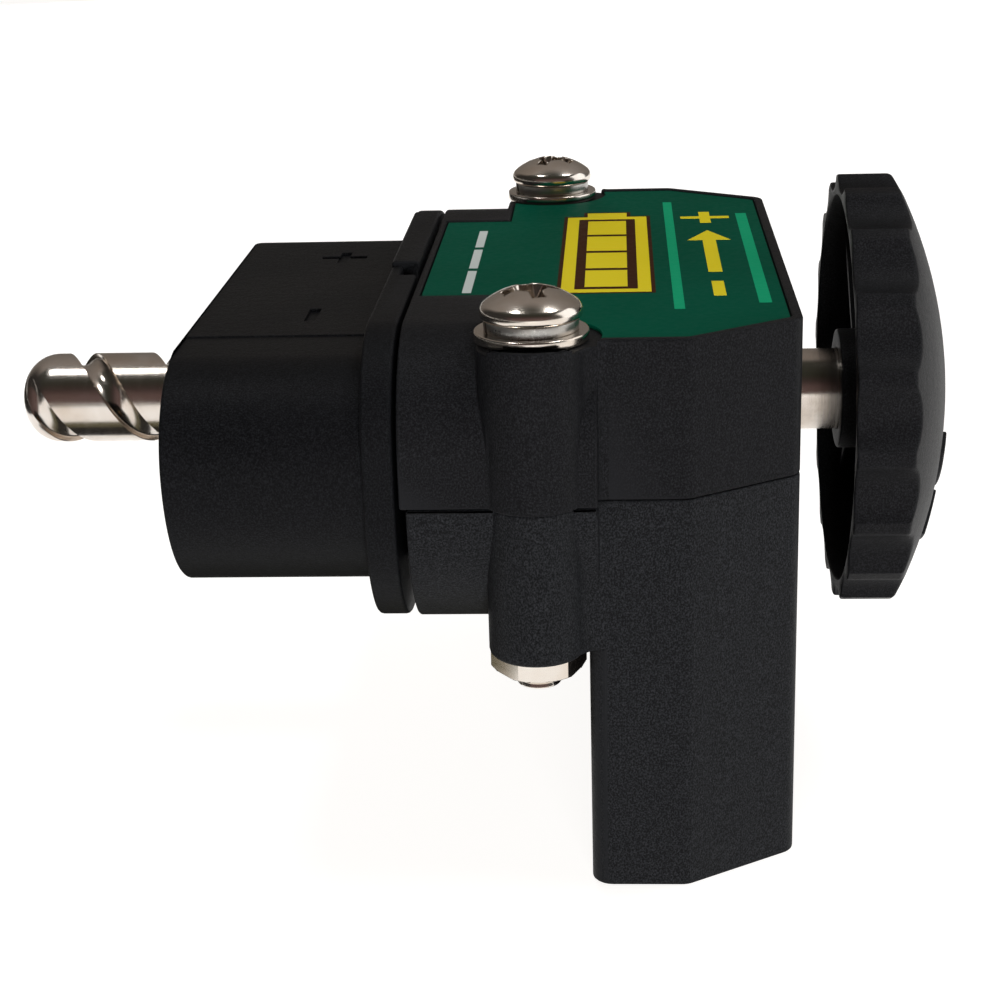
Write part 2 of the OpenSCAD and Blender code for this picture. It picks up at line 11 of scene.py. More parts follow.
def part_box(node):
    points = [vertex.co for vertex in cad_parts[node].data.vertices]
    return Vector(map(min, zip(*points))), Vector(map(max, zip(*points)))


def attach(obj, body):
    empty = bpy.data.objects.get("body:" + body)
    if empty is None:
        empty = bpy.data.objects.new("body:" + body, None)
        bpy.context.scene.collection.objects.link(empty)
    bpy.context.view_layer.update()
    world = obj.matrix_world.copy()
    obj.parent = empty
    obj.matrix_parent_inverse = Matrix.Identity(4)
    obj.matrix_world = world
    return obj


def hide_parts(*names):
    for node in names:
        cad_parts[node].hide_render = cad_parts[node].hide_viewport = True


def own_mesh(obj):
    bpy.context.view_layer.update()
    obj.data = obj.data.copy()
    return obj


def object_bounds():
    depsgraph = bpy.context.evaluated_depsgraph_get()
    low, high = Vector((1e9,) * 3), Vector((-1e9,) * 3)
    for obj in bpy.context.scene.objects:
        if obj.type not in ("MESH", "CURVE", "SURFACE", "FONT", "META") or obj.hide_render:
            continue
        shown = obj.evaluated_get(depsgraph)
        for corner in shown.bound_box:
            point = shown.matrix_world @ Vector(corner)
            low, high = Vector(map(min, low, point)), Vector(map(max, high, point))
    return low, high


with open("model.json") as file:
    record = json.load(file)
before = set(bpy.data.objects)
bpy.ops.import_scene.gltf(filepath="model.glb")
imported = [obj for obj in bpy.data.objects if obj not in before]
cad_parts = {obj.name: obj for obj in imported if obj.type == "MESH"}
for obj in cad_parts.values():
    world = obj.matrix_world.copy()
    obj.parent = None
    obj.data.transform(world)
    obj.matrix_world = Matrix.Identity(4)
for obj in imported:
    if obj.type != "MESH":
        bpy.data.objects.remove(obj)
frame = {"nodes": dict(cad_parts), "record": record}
cad_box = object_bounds()

MM = 0.001


# ---- Camera, light and floor ----


def add_camera():
    """Camera at the photograph's viewing angle, on a 36 mm sensor."""
    yaw, pitch, roll = (math.radians(a) for a in (3.559, 19.224, -1.701))
    level_right = Vector((math.cos(yaw), math.sin(yaw), 0))
    level_forward = Vector((-math.sin(yaw), math.cos(yaw), 0))
    upward = Vector((0, 0, 1))
    forward = level_forward * math.cos(pitch) - upward * math.sin(pitch)
    tilted_up = level_forward * math.sin(pitch) + upward * math.cos(pitch)
    right = level_right * math.cos(roll) + tilted_up * math.sin(roll)
    up = tilted_up * math.cos(roll) - level_right * math.sin(roll)
    data = bpy.data.cameras.new("camera")
    data.sensor_width = 36
    data.lens = 74.22
    data.clip_start = 0.01
    camera = bpy.data.objects.new("camera", data)
    turn = Matrix((right, up, -forward)).transposed().to_4x4()
    camera.matrix_world = Matrix.Translation((0.02327, -0.21159, 0.06171)) @ turn
    bpy.context.collection.objects.link(camera)
    bpy.context.scene.camera = camera


def add_area(name, place, aim, size, power):
    """Square area light at place, turned to aim."""
    data = bpy.data.lights.new(name, "AREA")
    data.size = size
    data.energy = power
    lamp = bpy.data.objects.new(name, data)
    lamp.location = place
    lamp.rotation_euler = (Vector(aim) - Vector(place)).to_track_quat("-Z", "Y").to_euler()
    bpy.context.collection.objects.link(lamp)
    return lamp


def add_world():
    """Studio around the object: grey behind and at the right, dark in front and at the left."""
    world = bpy.data.worlds.new("studio")
    bpy.context.scene.world = world
    world.use_nodes = True
    tree = world.node_tree
    tree.nodes.clear()
    coords = tree.nodes.new("ShaderNodeTexCoord")
    split = tree.nodes.new("ShaderNodeSeparateXYZ")
    tree.links.new(coords.outputs["Generated"], split.inputs[0])
    flip = tree.nodes.new("ShaderNodeMath")
    flip.operation = "MULTIPLY"
    flip.inputs[1].default_value = -1
    tree.links.new(split.outputs["Y"], flip.inputs[0])
    # Angle around the X axis, from the front horizon over the top to the back horizon
    angle = tree.nodes.new("ShaderNodeMath")
    angle.operation = "ARCTAN2"
    tree.links.new(split.outputs["Z"], angle.inputs[0])
    tree.links.new(flip.outputs[0], angle.inputs[1])
    share = tree.nodes.new("ShaderNodeMath")
    share.operation = "DIVIDE"
    share.inputs[1].default_value = math.pi
    tree.links.new(angle.outputs[0], share.inputs[0])
    arc = tree.nodes.new("ShaderNodeValToRGB")
    stops = (
        (0.00, (0.10, 0.06, 0.055)),
        (0.10, (0.13, 0.085, 0.08)),
        (0.20, (0.05, 0.035, 0.032)),
        (0.30, (0.03, 0.03, 0.022)),
        (0.54, (0.05, 0.05, 0.042)),
        (0.60, (0.26, 0.23, 0.21)),
        (1.00, (0.15, 0.135, 0.12)),
    )
    fill_ramp(arc.color_ramp, stops)
    tree.links.new(share.outputs[0], arc.inputs[0])
    side = tree.nodes.new("ShaderNodeMath")
    side.operation = "ABSOLUTE"
    tree.links.new(split.outputs["X"], side.inputs[0])
    edge = tree.nodes.new("ShaderNodeValToRGB")
    fill_ramp(edge.color_ramp, ((0.62, (0, 0, 0)), (0.82, (1, 1, 1))))
    tree.links.new(side.outputs[0], edge.inputs[0])
    mix = tree.nodes.new("ShaderNodeMix")
    mix.data_type = "RGBA"
    walls = tree.nodes.new("ShaderNodeValToRGB")
    fill_ramp(walls.color_ramp, ((0.4, (0.03, 0.028, 0.026)), (0.6, (0.08, 0.075, 0.07))))
    tree.links.new(split.outputs["X"], walls.inputs[0])
    tree.links.new(walls.outputs[0], mix.inputs[7])
    tree.links.new(edge.outputs[0], mix.inputs[0])
    tree.links.new(arc.outputs[0], mix.inputs[6])
    shade = tree.nodes.new("ShaderNodeBackground")
    tree.links.new(mix.outputs[2], shade.inputs[0])
    out = tree.nodes.new("ShaderNodeOutputWorld")
    tree.links.new(shade.outputs[0], out.inputs[0])


def fill_ramp(ramp, stops):
    while len(ramp.elements) < len(stops):
        ramp.elements.new(0.5)
    for element, (place, colour) in zip(ramp.elements, stops):
        element.position = place
        element.color = (*colour, 1)


def add_sheet(name, x, y, z, base, glow, strength):
    """A level rectangle of the stage, between two values of x and of y, which glows by itself."""
    mesh = bpy.data.meshes.new(name)
    corners = [(x[0], y[0], z), (x[1], y[0], z), (x[1], y[1], z), (x[0], y[1], z)]
    mesh.from_pydata(corners, [], [(0, 1, 2, 3)])
    sheet = bpy.data.objects.new(name, mesh)
    bpy.context.collection.objects.link(sheet)
    material, shader, _ = new_material(name)
    shader.inputs["Base Color"].default_value = (*base, 1)
    shader.inputs["Roughness"].default_value = 0.9
    shader.inputs["Specular IOR Level"].default_value = 0
    shader.inputs["Emission Color"].default_value = (*glow, 1)
    shader.inputs["Emission Strength"].default_value = strength
    mesh.materials.append(material)
    return sheet


def add_floor():
    """A pale, softly glowing table top under the object, as in a light box."""
    half = 6
    glow = (1, 0.985, 0.965)
    floor = add_sheet("floor", (-half, half), (-half, half), cad_box[0][2], (0.4, 0.4, 0.4), glow, 0.9)
    floor.visible_diffuse = False


def add_painted_shade_cards():
    """Dark cards that only reflections show, which paint shade into them: two below the shaft, a black one
    as painted shadow in place of the object's shadow on the floor and an olive painted reflection band
    beside it, and one at the left of the object, which paints shade into reflections from that side.
    """
    level = -30 * MM
    reach = (-70 * MM, 15 * MM)
    # Glow colours of the cards: black for painted shade and shadow, olive for a painted reflection band
    black, olive = (0.02, 0.018, 0.016), (0.11, 0.10, 0.055)
    flags = [
        add_sheet("painted_shadow_black", reach, (-15.5 * MM, 3 * MM), level, (0, 0, 0), black, 1),
        add_sheet("painted_reflection_olive", reach, (-27.5 * MM, -15.5 * MM), level, (0, 0, 0), olive, 1),
        add_sheet("painted_shade_left", (-1.2, -0.12), (-1, 1), cad_box[0][2] + 1 * MM, (0, 0, 0), black, 1),
    ]
    for flag in flags:
        flag.visible_camera = False
        flag.visible_diffuse = False
        flag.visible_shadow = False


# ---- Materials ----


class Nodes:
    """Short calls that add shader nodes to one material."""

    def __init__(self, tree):
        self.tree = tree

    def add(self, kind, **values):
        node = self.tree.nodes.new(kind)
        for key, value in values.items():
            setattr(node, key, value)
        return node

    def feed(self, socket, value):
        if hasattr(value, "is_output"):
            self.tree.links.new(value, socket)
        else:
            socket.default_value = value

    def place(self, stretch=(1, 1, 1)):
        """Object coordinates, stretched."""
        coords = self.add("ShaderNodeTexCoord")
        mapping = self.add("ShaderNodeMapping")
        mapping.inputs["Scale"].default_value = stretch
        self.tree.links.new(coords.outputs["Object"], mapping.inputs["Vector"])
        return mapping.outputs[0]

    def noise(self, where, scale, detail=2, rough=0.5):
        node = self.add("ShaderNodeTexNoise")
        self.feed(node.inputs["Vector"], where)
        node.inputs["Scale"].default_value = scale
        node.inputs["Detail"].default_value = detail
        node.inputs["Roughness"].default_value = rough
        return node.outputs[0]

    def span(self, value, low, high, to_low=0.0, to_high=1.0):
        node = self.add("ShaderNodeMapRange")
        self.feed(node.inputs["Value"], value)
        limits = {"From Min": low, "From Max": high, "To Min": to_low, "To Max": to_high}
        for socket, number in limits.items():
            node.inputs[socket].default_value = number
        return node.outputs[0]

    def math(self, operation, a, b):
        node = self.add("ShaderNodeMath", operation=operation)
        self.feed(node.inputs[0], a)
        self.feed(node.inputs[1], b)
        return node.outputs[0]

    def blend(self, share, a, b):
        node = self.add("ShaderNodeMix", data_type="RGBA")
        self.feed(node.inputs[0], share)
        self.feed(node.inputs[6], a if hasattr(a, "is_output") else (*a, 1))
        self.feed(node.inputs[7], b if hasattr(b, "is_output") else (*b, 1))
        return node.outputs[2]

    def bump(self, height, strength, distance, normal=None):
        node = self.add("ShaderNodeBump")
        node.inputs["Strength"].default_value = strength
        node.inputs["Distance"].default_value = distance
        self.feed(node.inputs["Height"], height)
        if normal is not None:
            self.tree.links.new(normal, node.inputs["Normal"])
        return node.outputs[0]

    def edges(self, low, high):
        """0 on flat stretches, 1 on raised edges."""
        node = self.add("ShaderNodeNewGeometry")
        return self.span(node.outputs["Pointiness"], low, high)


def new_material(name):
    material = bpy.data.materials.new(name)
    material.use_nodes = True
    shader = material.node_tree.nodes["Principled BSDF"]
    return material, shader, Nodes(material.node_tree)


def moulded_plastic(name, colour, rough, grain=0.8, dust_tone=3.4):
    """Glass-filled moulded plastic: fine grain, faint flow marks, pale fibres and rubbed edges."""
    rubbed = 2.2
    material, shader, n = new_material(name)
    where = n.place()
    fine = n.noise(where, 3800, 3, 0.6)
    middle = n.noise(where, 900, 2)
    flow = n.noise(n.place((1, 1, 0.35)), 55, 3)
    dust = n.noise(n.place((1, 1.6, 0.8)), 6200, 2, 0.7)
    tone = n.blend(n.span(flow, 0.3, 0.7), tuple(c * 0.72 for c in colour), colour)
    tone = n.blend(n.span(dust, 0.42, 0.76), tone, tuple(c * dust_tone for c in colour))
    tone = n.blend(n.edges(0.54, 0.62), tone, tuple(c * rubbed for c in colour))
    n.feed(shader.inputs["Base Color"], tone)
    by_grain = n.span(fine, 0.3, 0.7, rough - 0.05, rough + 0.05)
    by_flow = n.span(flow, 0.3, 0.7, -0.04, 0.04)
    n.feed(shader.inputs["Roughness"], n.math("ADD", by_grain, by_flow))
    shader.inputs["Specular IOR Level"].default_value = 0.06
    rough_skin = n.bump(fine, grain, 0.00004)
    n.feed(shader.inputs["Normal"], n.bump(middle, grain * 0.6, 0.00008, rough_skin))
    return material


def turned_metal(name, colour, rough, stretch, lines=0.12):
    """Bright metal with fine tool lines, which run across the stretched axis, and faint tarnish."""
    tarnish = (0.86, 0.7998, 0.7396)
    material, shader, n = new_material(name)
    streaks = n.noise(n.place(stretch), 1400, 4, 0.7)
    stain = n.noise(n.place(), 240, 3)
    dark = tuple(c * t for c, t in zip(colour, tarnish))
    n.feed(shader.inputs["Base Color"], n.blend(n.span(stain, 0.35, 0.7), colour, dark))
    shader.inputs["Metallic"].default_value = 1
    by_lines = n.span(streaks, 0.3, 0.7, rough - 0.03, rough + 0.05)
    by_stain = n.span(stain, 0.3, 0.7, -0.02, 0.03)
    n.feed(shader.inputs["Roughness"], n.math("ADD", by_lines, by_stain))
    n.feed(shader.inputs["Normal"], n.bump(streaks, lines, 0.00002))
    return material


def printed_film(name, colour, light, rough):
    """Satin printed film with a faint orange-peel surface."""
    material, shader, n = new_material(name)
    where = n.place()
    peel = n.noise(where, 1500, 2)
    drift = n.noise(where, 45, 2)
    n.feed(shader.inputs["Base Color"], n.blend(n.span(drift, 0.3, 0.7), colour, light))
    n.feed(shader.inputs["Roughness"], n.span(peel, 0.3, 0.7, rough - 0.04, rough + 0.05))
    shader.inputs["Specular IOR Level"].default_value = 0.01
    n.feed(shader.inputs["Normal"], n.bump(peel, 0.12, 0.00002))
    return material


def matt_rubber(name):
    """Black rubber with dust in its grain."""
    material, shader, n = new_material(name)
    where = n.place()
    grain = n.noise(where, 2600, 3, 0.65)
    dust = n.noise(where, 380, 3)
    tone = n.blend(n.span(dust, 0.5, 0.75), (0.011, 0.011, 0.012), (0.024, 0.023, 0.022))
    n.feed(shader.inputs["Base Color"], tone)
    n.feed(shader.inputs["Roughness"], n.span(grain, 0.3, 0.7, 0.62, 0.8))
    n.feed(shader.inputs["Normal"], n.bump(grain, 0.35, 0.00005))
    return material


ALONG_X = (1, 0.03, 0.03)
ALONG_Z = (0.03, 0.03, 1)
EVEN = (1, 1, 1)

materials = {
    "housing_plastic": moulded_plastic("black_nylon", (0.0078, 0.0081, 0.0090), 0.45),
    "knob_plastic": moulded_plastic("knob_nylon", (0.0080, 0.0082, 0.0090), 0.45),
    "label": printed_film("green_film", (0.0004, 0.074, 0.041), (0.0006, 0.090, 0.051), 0.45),
    "stud_steel": turned_metal("polished_stud", (0.74, 0.69, 0.64), 0.18, ALONG_X, 0.25),
    "screw_steel": turned_metal("bright_screw", (0.78, 0.73, 0.67), 0.16, ALONG_Z, 0.08),
    "plated_steel": turned_metal("zinc_plate", (0.55, 0.55, 0.56), 0.3, EVEN),
    "spring_steel": turned_metal("drawn_wire", (0.46, 0.45, 0.43), 0.28, EVEN),
    "tinned_copper": turned_metal("tin_plate", (0.68, 0.65, 0.6), 0.34, EVEN),
    "contact_brass": turned_metal("turned_brass", (0.74, 0.52, 0.26), 0.2, ALONG_X),
    "bronze": turned_metal("sintered_bronze", (0.5, 0.31, 0.15), 0.38, ALONG_X, 0.3),
    "grommet_rubber": matt_rubber("grommet_rubber"),
}
# The nose is coloured darker than the other moulded parts, and the lower shell a little lighter, with
# stronger grain and brighter flecks
shades = {
    "nose_housing": moulded_plastic("nose_nylon", (0.0052, 0.0055, 0.0062), 0.48),
    "lower_shell": moulded_plastic("lower_nylon", (0.0080, 0.0085, 0.0094), 0.47, grain=1.3, dust_tone=5.5),
}
print_yellow = printed_film("print_yellow", (0.86, 0.70, 0.02), (0.92, 0.76, 0.03), 0.45)
print_dark = printed_film("print_dark", (0.05, 0.018, 0.008), (0.06, 0.022, 0.010), 0.45)
print_green = printed_film("print_green", (0.008, 0.36, 0.17), (0.010, 0.40, 0.19), 0.45)
print_white = printed_film("print_white", (0.62, 0.68, 0.66), (0.70, 0.75, 0.73), 0.45)


# ---- Pieces ----


def finish_piece(name, bm, body, slot, material=None, sharp=35):
    """Makes an object of a bmesh, which rides on a body and takes a slot's material."""
    bm.normal_update()
    mesh = bpy.data.meshes.new(name)
    bm.to_mesh(mesh)
    bm.free()
    mesh.polygons.foreach_set("use_smooth", [True] * len(mesh.polygons))
    mesh.set_sharp_from_angle(angle=math.radians(sharp))
    mesh.materials.append(material or materials[slot])
    piece = bpy.data.objects.new(name, mesh)
    bpy.context.collection.objects.link(piece)
    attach(piece, body)
    return piece


def everywhere(middle):
    return 1.0


def bevelled(node, body, slot, width, weight, segments=3):
    """A copy of a CAD node's shape, its outer edges rounded by width times weight at each edge."""
    sharp = math.radians(28)
    bm = bmesh.new()
    bm.from_mesh(frame["nodes"][node].data)
    bmesh.ops.remove_doubles(bm, verts=bm.verts, dist=2e-6)
    bmesh.ops.dissolve_limit(bm, angle_limit=math.radians(0.4), verts=bm.verts, edges=bm.edges)
    bm.normal_update()
    layer = bm.edges.layers.float.new("bevel_weight_edge")
    for edge in bm.edges:
        if edge.is_manifold and edge.calc_face_angle(0) > sharp:
            if edge.is_convex:
                edge[layer] = weight((edge.verts[0].co + edge.verts[1].co) / 2)
            else:
                edge.smooth = False
    mesh = bpy.data.meshes.new(node + "_edges")
    bm.to_mesh(mesh)
    bm.free()
    mesh.polygons.foreach_set("use_smooth", [True] * len(mesh.polygons))
    mesh.materials.append(shades.get(node, materials[slot]))
    piece = bpy.data.objects.new(node + "_skin", mesh)
    bpy.context.collection.objects.link(piece)
    rounding = piece.modifiers.new("rounding", "BEVEL")
    rounding.width = width
    rounding.segments = segments
    rounding.limit_method = "WEIGHT"
    rounding.use_clamp_overlap = False
    shading = piece.modifiers.new("shading", "WEIGHTED_NORMAL")
    shading.weight = 100
    shading.keep_sharp = True
    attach(piece, body)
    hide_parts(node)
    return piece


def body_of_node():
    return {node: body for body, nodes in frame["record"]["behaviour"]["bodies"].items() for node in nodes}


def slot_of_node():
    return {part["node"]: part["material_slot"] for part in frame["record"]["subparts"]}


def sweep_rings(bm, rings, closed=True):
    """Quads between rings of points, each the same number of points."""
    rows = [[bm.verts.new(p) for p in ring] for ring in rings]
    for low, high in zip(rows, rows[1:]):
        count = len(low)
        for i in range(count if closed else count - 1):
            j = (i + 1) % count
            bm.faces.new((low[i], low[j], high[j], high[i]))
    return rows


def cap(bm, row, flip=False):
    """Closes a ring with a fan around its middle."""
    middle = bm.verts.new(sum((v.co for v in row), Vector()) / len(row))
    for i, vert in enumerate(row):
        pair = (vert, row[(i + 1) % len(row)])
        bm.faces.new((middle, *(reversed(pair) if flip else pair)))


# Grooves of the drive stud
GROOVE_LEAD = 18 * MM
GROOVE_DEPTH = 1.3 * MM
GROOVE_ANGLE = math.radians(57)
GROOVE_START = math.radians(40)
GROOVE_END = -8.5 * MM
TIP_R = 3.8 * MM
STUD_END = 12 * MM
JOURNAL_R = 4.27 * MM
RING_GROOVE = (34.8 * MM, 35.8 * MM, 3.77 * MM)


def groove_section(radius):
    """Half of the stud's outline: one groove, then the land up to the next groove."""
    half = radius * math.sin(GROOVE_ANGLE / 2)
    floor = radius - GROOVE_DEPTH
    top = math.sqrt(radius**2 - half**2)
    corner = 0.22 * MM
    edge = 0.09 * MM
    points = [(floor, y * (half - corner) / 5) for y in range(-5, 6)]
    for step in range(1, 4):
        a = math.radians(30 * step)
        points.append((floor + corner * (1 - math.cos(a)), half - corner * (1 - math.sin(a))))
    points += [(floor + (top - floor) * 0.6, half), (top - edge, half)]
    start = math.asin((half + edge) / radius)
    lands = 44
    for step in range(lands + 1):
        a = start + (math.pi - 2 * start) * step / lands
        points.append((radius * math.cos(a), radius * math.sin(a)))
    points += [(-(top - edge), half), (-(floor + (top - floor) * 0.6), half)]
    for step in range(3, 0, -1):
        a = math.radians(30 * step)
        points.append((-(floor + corner * (1 - math.cos(a))), half - corner * (1 - math.sin(a))))
    return points


def build_shaft():
    """Drive shaft with a domed tip, two helical grooves, the journal, and the snap ring's groove."""
    low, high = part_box("drive_shaft")
    radius = (high.z - low.z) / 2
    left, right = low.x, high.x
    half_outline = groove_section(radius)
    outline = half_outline + [(-x, -y) for x, y in half_outline]
    tip_steps, pitch = 26, 0.16 * MM
    stations = [left + TIP_R * (1 - math.cos(math.pi / 2 * i / tip_steps)) for i in range(tip_steps + 1)]
    count = math.ceil((GROOVE_END - stations[-1]) / pitch)
    stations += [stations[-1] + (GROOVE_END - stations[-1]) * (i + 1) / count for i in range(count)]
    rings = []
    for x in stations:
        turn = GROOVE_START + 2 * math.pi * (x - left) / GROOVE_LEAD
        into = min(TIP_R, x - left)
        limit = radius - TIP_R + math.sqrt(TIP_R**2 - (TIP_R - into) ** 2)
        ring = []
        for a, b in outline:
            shrink = min(1, limit / math.hypot(a, b))
            a, b = a * shrink, b * shrink
            u = a * math.cos(turn) - b * math.sin(turn)
            v = a * math.sin(turn) + b * math.cos(turn)
            ring.append((x, v, -u))
        rings.append(ring)
    last = rings[-1]

    def round_ring(x, r):
        return [(x, y * r / math.hypot(y, z), z * r / math.hypot(y, z)) for _, y, z in last]

    chamfer = 0.35 * MM
    groove_left, groove_right, groove_r = RING_GROOVE
    plain = [
        (GROOVE_END, radius), (STUD_END - chamfer, radius),
        (STUD_END, radius - chamfer), (STUD_END, JOURNAL_R),
        (groove_left, JOURNAL_R), (groove_left, groove_r),
        (groove_right, groove_r), (groove_right, JOURNAL_R),
        (right - chamfer, JOURNAL_R), (right, JOURNAL_R - chamfer),
    ]
    rings += [round_ring(x, r) for x, r in plain]
    bm = bmesh.new()
    rows = sweep_rings(bm, rings)
    cap(bm, rows[0], flip=True)
    cap(bm, rows[-1])
    bmesh.ops.recalc_face_normals(bm, faces=bm.faces)
    shaft = finish_piece("drive_shaft_turned", bm, "drive", "stud_steel", sharp=30)
    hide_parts("drive_shaft")


def build_spring():
    """Round wire coil with one closed turn at each end."""
    low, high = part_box("return_spring")
    turns, wire = 9, 1.3 * MM
    mean_r = (high.z - low.z) / 2 - wire / 2
    close = 1 / turns
    end_turn = wire * 1.02
    free = high.x - low.x - wire - 2 * end_turn
    steps, sides = 48 * turns, 16
    rings = []
    for i in range(steps + 1):
        t = i / steps
        flat = end_turn * turns * (min(t, close) + max(0, t - 1 + close))
        rise = free * min(1, max(0, (t - close) / (1 - 2 * close)))
        x = low.x + wire / 2 + flat + rise
        a = 2 * math.pi * turns * t
        ring = []
        for j in range(sides):
            b = 2 * math.pi * j / sides
            r = mean_r + wire / 2 * math.cos(b)
            ring.append((x + wire / 2 * math.sin(b), r * math.cos(a), r * math.sin(a)))
        rings.append(ring)
    bm = bmesh.new()
    rows = sweep_rings(bm, rings)
    cap(bm, rows[0], flip=True)
    cap(bm, rows[-1])
    bmesh.ops.recalc_face_normals(bm, faces=bm.faces)
    spring = finish_piece("return_spring_coil", bm, "housing", "spring_steel")
    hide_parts("return_spring")
    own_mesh(spring)


# Knob: the same driving values as in the CAD frame
RIDGES = 18
RIDGE_START = math.radians(2)
LAND = math.radians(4)
SCALLOP_DEPTH = 1.4 * MM
DOME_R = 48 * MM
DOME_T = 2.5 * MM
CUP_R = 20.3 * MM
HUB_R = 6.3 * MM
HUB_X = 46.1 * MM
BORE_R = 4.32 * MM
BORE_END = 54 * MM
RIB_LEFT = 48.15 * MM
RIB_T = 1.2 * MM
DOME_X = 9 * MM
# Its raised marks, in millimetres and degrees
ARROW_R = (7.3, 10.6)
ARROW_ANGLES = (203, 318)
ARROW_HEAD_GAP = 2
ARROW_HEAD = (6.8, 9)
MARK_BAR_R = (11.4, 16.2)
MARK_BAR_ANGLES = (233, 247)


def dome_at(r, inset=0.0):
    """Place along X of the knob's domed face, or of a surface inset below it, at a radius."""
    return DOME_X + math.sqrt((DOME_R - inset) ** 2 - r * r)


def side_radius(angle, radius):
    """Radius of the knob's scalloped side: narrow lands between hollows of one circular arc each."""
    pitch = 2 * math.pi / RIDGES
    from_middle = (angle - RIDGE_START) % pitch - pitch / 2
    half = (pitch - LAND) / 2
    half_chord = radius * math.sin(half)
    rise = SCALLOP_DEPTH - radius * (1 - math.cos(half))
    hollow_r = (half_chord**2 + rise**2) / (2 * rise)
    hollow_y = radius * math.cos(half) - rise + hollow_r
    outside = hollow_r**2 - (hollow_y * math.sin(from_middle)) ** 2
    if abs(from_middle) > half or outside < 0:
        hollow = radius + 0.5 * MM
    else:
        hollow = hollow_y * math.cos(from_middle) - math.sqrt(outside)
    soft = 0.05 * MM
    gap = (hollow - radius) / soft
    return radius if gap > 2 else min(radius, hollow) - soft * 0.25 * max(0, 1 - abs(gap) / 2) ** 2


def fillet(start, corner, end, steps):
    """Points of a quadratic Bezier arc between two straight stretches that meet at a corner."""
    points = []
    for i in range(steps + 1):
        t = i / steps
        weights = ((1 - t) ** 2, 2 * t * (1 - t), t * t)
        points.append(tuple(sum(w * p[k] for w, p in zip(weights, (start, corner, end))) for k in (0, 1)))
    return points


def knob_profile(side, left):
    """Half-section of the knob as (x, r), from the face's middle over the side into the bore."""
    edge, root_edge, lip = 0.4 * MM, 0.9 * MM, 0.3 * MM
    corner = (dome_at(side), side)
    face = [(dome_at((side - edge) * i / 14), (side - edge) * i / 14) for i in range(1, 14)]
    over_edge = fillet((dome_at(side - edge), side - edge), corner, (corner[0] - edge, side), 6)
    flank = [(left + (corner[0] - edge - left) * t, side) for t in (0.66, 0.33)]
    over_rim = fillet((left + lip, side), (left, side), (left, side - lip), 3)
    into_cup = fillet((left, CUP_R + lip / 2), (left, CUP_R), (left + lip, CUP_R), 3)
    deep = dome_at(CUP_R, DOME_T)
    in_cup = CUP_R - root_edge
    cup_corner = fillet((deep - root_edge, CUP_R), (deep, CUP_R), (dome_at(in_cup, DOME_T), in_cup), 4)
    floor = [(dome_at(r * MM, DOME_T), r * MM) for r in (17, 14, 11, 8.5)]
    root = dome_at(HUB_R, DOME_T)
    by_hub = HUB_R + root_edge
    hub_foot = fillet((dome_at(by_hub, DOME_T), by_hub), (root, HUB_R), (root - root_edge, HUB_R), 4)
    hub_edge = fillet((HUB_X + lip, HUB_R), (HUB_X, HUB_R), (HUB_X, HUB_R - lip), 3)
    bore = fillet((HUB_X, BORE_R + lip), (HUB_X, BORE_R), (HUB_X + lip, BORE_R), 3) + [(BORE_END, BORE_R)]
    return face + over_edge + flank + over_rim + into_cup + cup_corner + floor + hub_foot + hub_edge + bore


def add_mark(bm, place, steps, across):
    """A raised mark on the domed face. place(u, v) gives its (y, z), with u and v from 0 to 1."""
    proud, worn, sunk = 0.38 * MM, 0.26 * MM, 0.4 * MM

    def ease(i, count):
        """Even steps from 0 to 1, with one narrow step at each end."""
        return min(1, max(0, (i - 0.75) / (count - 1.5))) if 0 < i < count else i / count

    top, base = [], []
    for i in range(steps + 1):
        rows = ([], [])
        for j in range(across + 1):
            y, z = place(ease(i, steps), ease(j, across))
            on_rim = i in (0, steps) or j in (0, across)
            r = math.hypot(y, z)
            rows[0].append(bm.verts.new((dome_at(r) + (worn if on_rim else proud), y, z)))
            rows[1].append(bm.verts.new((dome_at(r) - sunk, y, z)))
        top.append(rows[0])
        base.append(rows[1])
    for sheet in (top, base):
        for i in range(steps):
            for j in range(across):
                bm.faces.new((sheet[i][j], sheet[i + 1][j], sheet[i + 1][j + 1], sheet[i][j + 1]))
    rim = [(i, 0) for i in range(steps)] + [(steps, j) for j in range(across)]
    rim += [(i, across) for i in range(steps, 0, -1)] + [(0, j) for j in range(across, 0, -1)]
    for (i, j), (k, m) in zip(rim, rim[1:] + rim[:1]):
        bm.faces.new((top[i][j], top[k][m], base[k][m], base[i][j]))


def build_knob():
    """Scalloped hand knob with a domed face, a hollow back with ribs, a hub and a raised arrow."""
    low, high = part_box("knob")
    radius, left = (high.y - low.y) / 2, low.x
    count = RIDGES * 28
    rings = []
    for i in range(count):
        angle = 2 * math.pi * i / count
        profile = knob_profile(side_radius(angle, radius), left)
        rings.append([(x, r * math.cos(angle), r * math.sin(angle)) for x, r in profile])
    bm = bmesh.new()
    rows = sweep_rings(bm, list(zip(*rings)))
    cap(bm, rows[0])
    cap(bm, rows[-1])
    for turn in (45, 135, 225, 315):
        add_rib(bm, math.radians(turn))
    base = math.radians(ARROW_ANGLES[1] + ARROW_HEAD_GAP)
    half_width, reach = ARROW_HEAD

    def head(u, v):
        """Arrowhead from its base, across the arc, to its tip."""
        out = sum(ARROW_R) / 2 + half_width * (2 * v - 1) * (1 - 0.985 * u)
        return tuple(a + b for a, b in zip(polar(out, base), polar(reach * u, base + math.pi / 2)))

    add_mark(bm, sector(ARROW_R, ARROW_ANGLES), 60, 8)
    add_mark(bm, head, 20, 12)
    add_mark(bm, sector(MARK_BAR_R, MARK_BAR_ANGLES), 14, 14)
    bmesh.ops.recalc_face_normals(bm, faces=bm.faces)
    knob = finish_piece("knob_scalloped", bm, "drive", "knob_plastic", sharp=25)
    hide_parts("knob")


